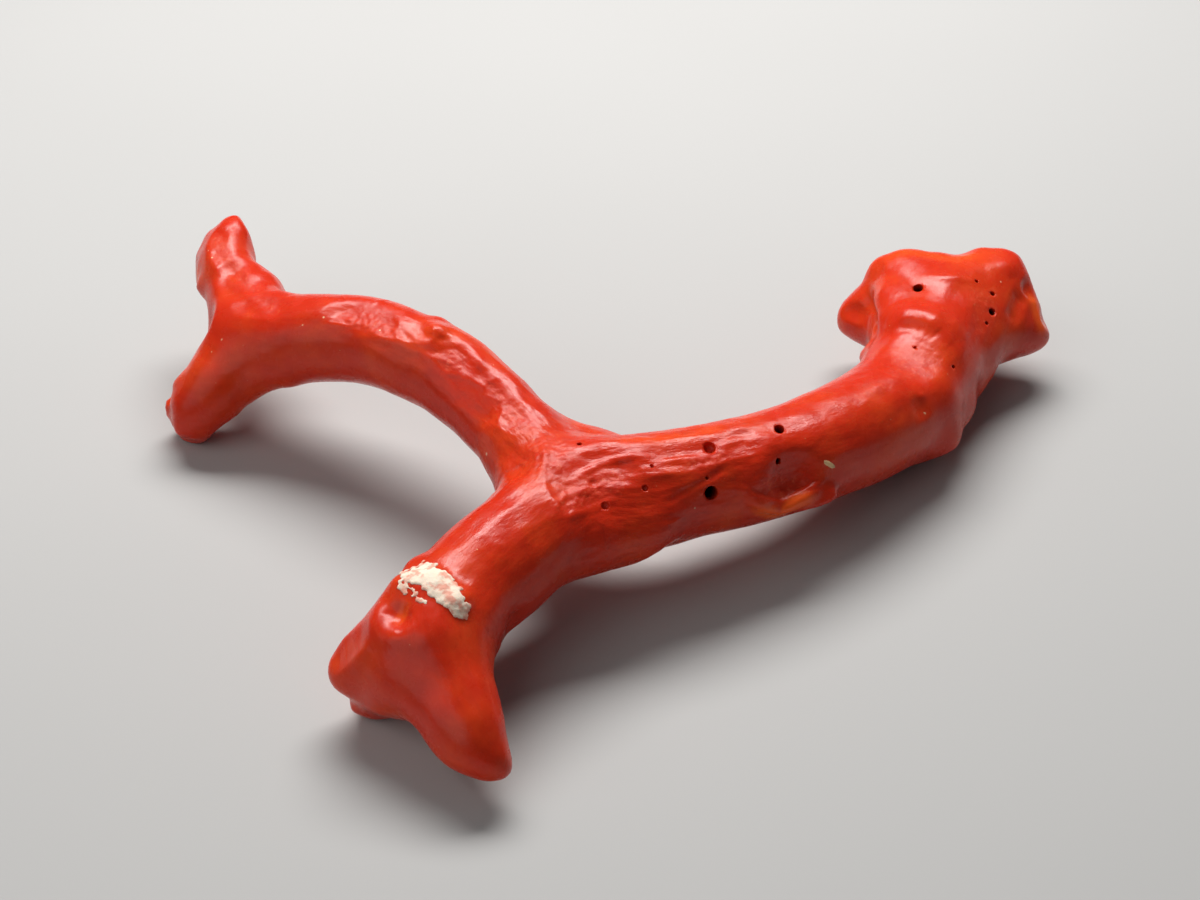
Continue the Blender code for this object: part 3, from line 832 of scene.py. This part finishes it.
def drill(place, inward, radius, depth):
    """A round-bottomed drill with a flared mouth, set in at a place."""
    profile = (
        (0.0, -DRILL_ABOVE),
        (radius * 1.7, -DRILL_ABOVE),
        (radius * 1.5, -0.08),
        (radius * 1.12, 0.03),
        (radius, min(0.14, depth * 0.4)),
        (radius, depth * 0.7),
        (radius * 0.6, depth),
        (0.0, depth),
    )
    grid = bmesh.new()
    points = [grid.verts.new((across, 0, along)) for across, along in profile]
    edges = [grid.edges.new(pair) for pair in zip(points[:-1], points[1:])]
    round_axis = {"cent": (0, 0, 0), "axis": (0, 0, 1), "angle": math.tau}
    bmesh.ops.spin(grid, geom=points + edges, steps=DRILL_SIDES, use_merge=True, **round_axis)
    bmesh.ops.remove_doubles(grid, verts=grid.verts, dist=MERGE_GAP)
    bmesh.ops.recalc_face_normals(grid, faces=grid.faces)
    turned = inward.to_track_quat("Z", "Y").to_matrix().to_4x4()
    bmesh.ops.transform(grid, matrix=Matrix.Translation(place) @ turned, verts=grid.verts)
    to_metres(grid)
    return piece_from("drill", grid)


def bored(branch, skin):
    """Drills the holes, and stores how much shade is painted on each point inside them, more the deeper it
    lies.
    """
    placed = []
    drills = bpy.data.collections.new("drills")
    for pixel, radius, depth, painted_shade_share in HOLES.values():
        place, facing = skin.seen(pixel)
        inward = (Vector(sight_line(pixel)) * BORE_LEAN - Vector(facing)).normalized()
        placed.append((place, np.array(inward), radius, depth, painted_shade_share))
        drills.objects.link(drill(place, inward, radius, depth))
    boolean = branch.modifiers.new("holes", "BOOLEAN")
    boolean.operation = "DIFFERENCE"
    boolean.solver = "EXACT"
    boolean.operand_type = "COLLECTION"
    boolean.collection = drills
    settle(branch)
    for tool in list(drills.objects):
        bpy.data.objects.remove(tool)
    bpy.data.collections.remove(drills)
    drilled = Skin(branch)
    dark = np.zeros(len(drilled.points))
    for place, inward, radius, depth, painted_shade_share in placed:
        deep = (drilled.points - place) @ inward
        aside = np.linalg.norm(drilled.points - place - deep[:, None] * inward, axis=1)
        inside = (aside < radius * BORE_WIDER) & (deep > DARK_FROM) & (deep < depth * BORE_DEEPER)
        # Painted shade: a point is darker the deeper it lies in its hole.
        dark[inside] = painted_shade_share * np.clip((deep[inside] - DARK_FROM) / DARK_OVER, 0, 1)
    drilled.keep("bore_painted_shade", dark)
    return drilled


def inside_outline(pixel, outline):
    """Whether a pixel lies inside a closed outline."""
    inside = False
    for (ax, ay), (bx, by) in zip(outline, (*outline[1:], outline[0])):
        if (ay > pixel[1]) != (by > pixel[1]):
            crossing = ax + (pixel[1] - ay) / (by - ay) * (bx - ax)
            inside ^= pixel[0] < crossing
    return inside


def lime_crust(skin):
    """Chalky lumps fused into a ragged patch."""
    chance = random.Random(CRUST_CHANCE)
    grid = bmesh.new()
    for outline, tries, least, most, flatness in CRUST_PATCHES.values():
        across = [x for x, _ in outline]
        down = [y for _, y in outline]
        for _ in range(tries):
            pixel = (chance.uniform(min(across), max(across)), chance.uniform(min(down), max(down)))
            if not (inside_outline(pixel, outline) and skin.is_seen(pixel)):
                continue
            place, facing = skin.seen(pixel)
            radius = chance.uniform(least, most)
            squash = Matrix.Diagonal((radius, radius, radius * chance.uniform(*CRUST_SQUASH) * flatness, 1))
            turned = Vector(facing).to_track_quat("Z", "Y").to_matrix().to_4x4()
            bmesh.ops.create_icosphere(
                grid, subdivisions=1, radius=1, matrix=Matrix.Translation(place) @ turned @ squash
            )
    to_metres(grid)
    crust = piece_from("lime_crust_lumps", grid)
    refuse_skin(crust, CRUST_STEP)
    relax(crust, CRUST_ROUNDS)
    settle(crust)
    biggest_shell(crust)
    return crust


def sand_grain(skin):
    """A beige grain, longer than wide, pressed a little into the skin."""
    first, last, half_width = SAND_GRAIN
    start, facing = skin.seen(first)
    end, _ = skin.seen(last)
    way = Vector(end - start)
    grid = bmesh.new()
    bmesh.ops.create_icosphere(grid, subdivisions=3, radius=1)
    for vertex in grid.verts:
        vertex.co *= 1 + SAND_LUMPS[1] * noise.noise(vertex.co * SAND_LUMPS[0])
    shape = Matrix.Diagonal((way.length / 2, half_width, half_width * SAND_THINNER, 1))
    side = Vector(facing).cross(way.normalized()).normalized()
    turned = Matrix((way.normalized(), side, way.normalized().cross(side))).transposed().to_4x4()
    middle = Vector((start + end) / 2 - facing * SAND_SUNK)
    bmesh.ops.transform(grid, matrix=Matrix.Translation(middle) @ turned @ shape, verts=grid.verts)
    to_metres(grid)
    return piece_from("sand_grain", grid)


class Finish:
    """A material under construction: adds nodes and links them."""

    def __init__(self, name):
        self.material = bpy.data.materials.new(name)
        self.material.use_nodes = True
        self.tree = self.material.node_tree
        self.shader = self.tree.nodes["Principled BSDF"]
        place = self.add("ShaderNodeTexCoord").outputs["Object"]
        mapping = self.add("ShaderNodeMapping")
        mapping.inputs["Scale"].default_value = (1 / MM,) * 3
        self.link(place, mapping.inputs["Vector"])
        self.place = mapping.outputs["Vector"]

    def add(self, kind):
        return self.tree.nodes.new(kind)

    def link(self, source, target):
        self.tree.links.new(source, target)

    def noise(self, scale, detail=3.0, roughness=0.55, distortion=0.0):
        made = self.add("ShaderNodeTexNoise")
        made.inputs["Scale"].default_value = scale
        made.inputs["Detail"].default_value = detail
        made.inputs["Roughness"].default_value = roughness
        made.inputs["Distortion"].default_value = distortion
        self.link(self.place, made.inputs["Vector"])
        return made.outputs["Fac"]

    def stored(self, name):
        made = self.add("ShaderNodeAttribute")
        made.attribute_name = name
        return made.outputs["Fac"]

    def grain(self, path, scale, detail):
        """Noise drawn out along a growth path."""
        places = self.add("ShaderNodeAttribute")
        places.attribute_name = path
        made = self.add("ShaderNodeTexNoise")
        made.inputs["Scale"].default_value = scale
        made.inputs["Detail"].default_value = detail
        made.inputs["Roughness"].default_value = 0.6
        self.link(places.outputs["Vector"], made.inputs["Vector"])
        return made.outputs["Fac"]

    def blended(self, share, first, second):
        """Mixes two numbers."""
        made = self.add("ShaderNodeMix")
        made.data_type = "FLOAT"
        self.link(share, made.inputs[0])
        self.link(first, made.inputs[2])
        self.link(second, made.inputs[3])
        return made.outputs[0]

    def times(self, first, second):
        made = self.add("ShaderNodeMath")
        made.operation = "MULTIPLY"
        self.link(first, made.inputs[0])
        self.link(second, made.inputs[1])
        return made.outputs[0]

    def ranged(self, value, low, high, to_low=0.0, to_high=1.0):
        made = self.add("ShaderNodeMapRange")
        made.interpolation_type = "SMOOTHSTEP"
        made.inputs["From Min"].default_value = low
        made.inputs["From Max"].default_value = high
        made.inputs["To Min"].default_value = to_low
        made.inputs["To Max"].default_value = to_high
        self.link(value, made.inputs["Value"])
        return made.outputs["Result"]

    def mixed(self, share, first, second):
        """Mixes two colours, each given as numbers or as a socket."""
        made = self.add("ShaderNodeMix")
        made.data_type = "RGBA"
        for socket, value in ((6, first), (7, second)):
            if isinstance(value, tuple):
                made.inputs[socket].default_value = (*value, 1)
            else:
                self.link(value, made.inputs[socket])
        if isinstance(share, float):
            made.inputs[0].default_value = share
        else:
            self.link(share, made.inputs[0])
        return made.outputs[2]

    def bumped(self, height, strength, distance, below=None):
        made = self.add("ShaderNodeBump")
        made.inputs["Strength"].default_value = strength
        made.inputs["Distance"].default_value = distance * MM
        self.link(height, made.inputs["Height"])
        if below is not None:
            self.link(below, made.inputs["Normal"])
        return made.outputs["Normal"]


CORAL_RED = (0.58, 0.026, 0.006)
CORAL_ORANGE = (0.78, 0.090, 0.014)
CORAL_DEEP = (0.34, 0.008, 0.002)
CORAL_WORN = (0.78, 0.13, 0.06)
# Orange painted on thin places as a glow of light shining through them.
PAINTED_GLOW_ORANGE = (0.88, 0.11, 0.013)
# Black painted as shade inside the holes.
BORE_SHADE_BLACK = (0.004, 0.002, 0.001)
SPECK_CREAM = (0.80, 0.50, 0.32)
LIME_CREAM = (0.84, 0.70, 0.56)
LIME_PINK = (0.74, 0.34, 0.25)
SAND_BROWN = (0.50, 0.28, 0.12)
SAND_BEIGE = (0.78, 0.54, 0.28)
FLOOR_DARKER = (0.42, 0.42, 0.415)
FLOOR_LIGHTER = (0.46, 0.46, 0.455)
WORN_ROUGHNESS = 0.40


def coral_finish():
    """Waxy polished coral: a translucent red body, with a painted orange glow on thin places standing in for
    light shining through, grained along its growth.
    """
    coral = Finish("polished_coral")
    along_arms = coral.grain("grain_arms", 3.4, 4.0)
    along_stem = coral.grain("grain_stem", 3.4, 4.0)
    grain = coral.blended(coral.stored("stem_share"), along_arms, along_stem)
    clouds = coral.ranged(coral.noise(0.35, 4.0), 0.40, 0.75, 0.0, 0.4)
    colour = coral.mixed(clouds, CORAL_RED, CORAL_ORANGE)
    furrows = coral.times(coral.ranged(grain, 0.56, 0.30, 0.0, 0.35), coral.stored("streakiness"))
    colour = coral.mixed(furrows, colour, CORAL_DEEP)
    # Painted glow: thin places take a brighter orange, as if lit through from behind.
    colour = coral.mixed(coral.ranged(coral.stored("painted_glow"), 0.0, 0.7, 0.0, 0.85), colour, PAINTED_GLOW_ORANGE)
    worn = coral.stored("worn")
    speckle = coral.ranged(coral.noise(4.0, 4.0, 0.7), 0.50, 0.72, 0.0, 0.6)
    colour = coral.mixed(coral.times(worn, speckle), colour, CORAL_WORN)
    specks = coral.ranged(coral.noise(3.6, 1.0, 0.4), 0.80, 0.83)
    colour = coral.mixed(specks, colour, SPECK_CREAM)
    # Painted shade: the insides of the holes darken to black with depth.
    colour = coral.mixed(coral.stored("bore_painted_shade"), colour, BORE_SHADE_BLACK)
    coral.link(colour, coral.shader.inputs["Base Color"])
    gloss = coral.ranged(coral.noise(1.3, 5.0), 0.3, 0.7, 0.20, 0.32)
    matt = coral.add("ShaderNodeValue")
    matt.outputs[0].default_value = WORN_ROUGHNESS
    gloss = coral.blended(worn, gloss, matt.outputs[0])
    coral.link(gloss, coral.shader.inputs["Roughness"])
    fibres = coral.bumped(coral.times(grain, coral.stored("streakiness")), 0.8, 0.06)
    roughness = coral.ranged(worn, 0.0, 1.0, 0.1, 0.9)
    grit = coral.bumped(coral.times(coral.noise(5.5, 3.0), roughness), 0.5, 0.03, fibres)
    coral.link(grit, coral.shader.inputs["Normal"])
    coral.shader.inputs["Subsurface Weight"].default_value = 0.3
    coral.shader.inputs["Subsurface Radius"].default_value = (1.0, 0.16, 0.05)
    coral.shader.inputs["Subsurface Scale"].default_value = 0.7 * MM
    coral.shader.inputs["IOR"].default_value = 1.5
    coral.shader.inputs["Specular IOR Level"].default_value = 0.25
    return coral.material


def crust_finish():
    """Chalky lime, with the red of the coral showing through where it is thin."""
    crust = Finish("chalky_lime")
    patches = crust.ranged(crust.noise(1.6, 4.0), 0.47, 0.60)
    colour = crust.mixed(patches, LIME_CREAM, LIME_PINK)
    crust.link(colour, crust.shader.inputs["Base Color"])
    crust.shader.inputs["Roughness"].default_value = 0.8
    grain = crust.bumped(crust.noise(12.0, 4.0), 0.6, 0.03)
    crust.link(grain, crust.shader.inputs["Normal"])
    crust.shader.inputs["Subsurface Weight"].default_value = 0.15
    crust.shader.inputs["Subsurface Radius"].default_value = (0.5, 0.3, 0.2)
    crust.shader.inputs["Subsurface Scale"].default_value = 0.3 * MM
    return crust.material


def sand_finish():
    sand = Finish("beige_sand")
    tone = sand.mixed(sand.noise(6.0, 3.0), SAND_BROWN, SAND_BEIGE)
    sand.link(tone, sand.shader.inputs["Base Color"])
    sand.shader.inputs["Roughness"].default_value = 0.5
    sand.link(sand.bumped(sand.noise(9.0, 3.0), 0.5, 0.03), sand.shader.inputs["Normal"])
    return sand.material


def floor_finish():
    floor = Finish("pale_floor")
    tone = floor.mixed(floor.noise(0.02, 2.0), FLOOR_DARKER, FLOOR_LIGHTER)
    floor.link(tone, floor.shader.inputs["Base Color"])
    floor.shader.inputs["Roughness"].default_value = 0.8
    return floor.material


SHARP_FROM = math.radians(75)
FLOOR_REACH_METRES = 3.0
WARM_WHITE = (1.0, 0.98, 0.96)
SKY_WHITE = (0.92, 0.96, 1.0)
SKY_STRENGTH = 0.09

# The softboxes: (place, width, depth, watts).
SOFTBOXES = {
    "window_back": ((-5, 90, 125), 165, 56, 0.38),
    "fill_front": ((-120, -95, 120), 220, 220, 0.13),
}


def dressed(piece, material):
    piece.data.materials.clear()
    piece.data.materials.append(material)
    piece.data.shade_smooth()
    piece.data.set_sharp_from_angle(angle=SHARP_FROM)
    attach(piece, "root")


def pale_floor():
    grid = bmesh.new()
    bmesh.ops.create_grid(grid, x_segments=1, y_segments=1, size=FLOOR_REACH_METRES)
    floor = piece_from("pale_floor", grid)
    floor.data.materials.append(floor_finish())


def soft_light(name, place, width, depth, watts):
    """An oval softbox that faces the middle of the branch."""
    lamp = bpy.data.lights.new(name, "AREA")
    lamp.shape = "ELLIPSE"
    lamp.size = width * MM
    lamp.size_y = depth * MM
    lamp.energy = watts
    lamp.color = WARM_WHITE
    light = bpy.data.objects.new(name, lamp)
    light.location = Vector(place) * MM
    light.rotation_mode = "QUATERNION"
    light.rotation_quaternion = Vector(place).to_track_quat("Z", "Y")
    bpy.context.scene.collection.objects.link(light)


def studio():
    pale_floor()
    for name, softbox in SOFTBOXES.items():
        soft_light(name, *softbox)
    world = bpy.data.worlds.new("studio")
    world.use_nodes = True
    world.node_tree.nodes["Background"].inputs["Color"].default_value = (*SKY_WHITE, 1)
    world.node_tree.nodes["Background"].inputs["Strength"].default_value = SKY_STRENGTH
    bpy.context.scene.world = world
    bpy.context.scene.view_settings.view_transform = "Standard"


def camera():
    lens = bpy.data.cameras.new("camera")
    lens.sensor_width = 36.0
    lens.lens = lens.sensor_width / 2 / math.tan(VIEW_ANGLE / 2)
    lens.clip_start = 5 * MM
    lens.clip_end = 10.0
    made = bpy.data.objects.new("camera", lens)
    made.location = view_point() * MM
    made.rotation_mode = "QUATERNION"
    made.rotation_quaternion = view_axes()[2].to_track_quat("-Z", "Y")
    bpy.context.scene.collection.objects.link(made)
    bpy.context.scene.camera = made


branch = closed_branch()
finer(branch)
skin = Skin(branch)
carve(skin)
grained(skin)
skin = bored(branch, skin)
dressed(branch, coral_finish())
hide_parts(*LIMB_NODES)
crust = lime_crust(skin)
dressed(crust, crust_finish())
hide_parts("lime_crust")
dressed(sand_grain(skin), sand_finish())
studio()
camera()
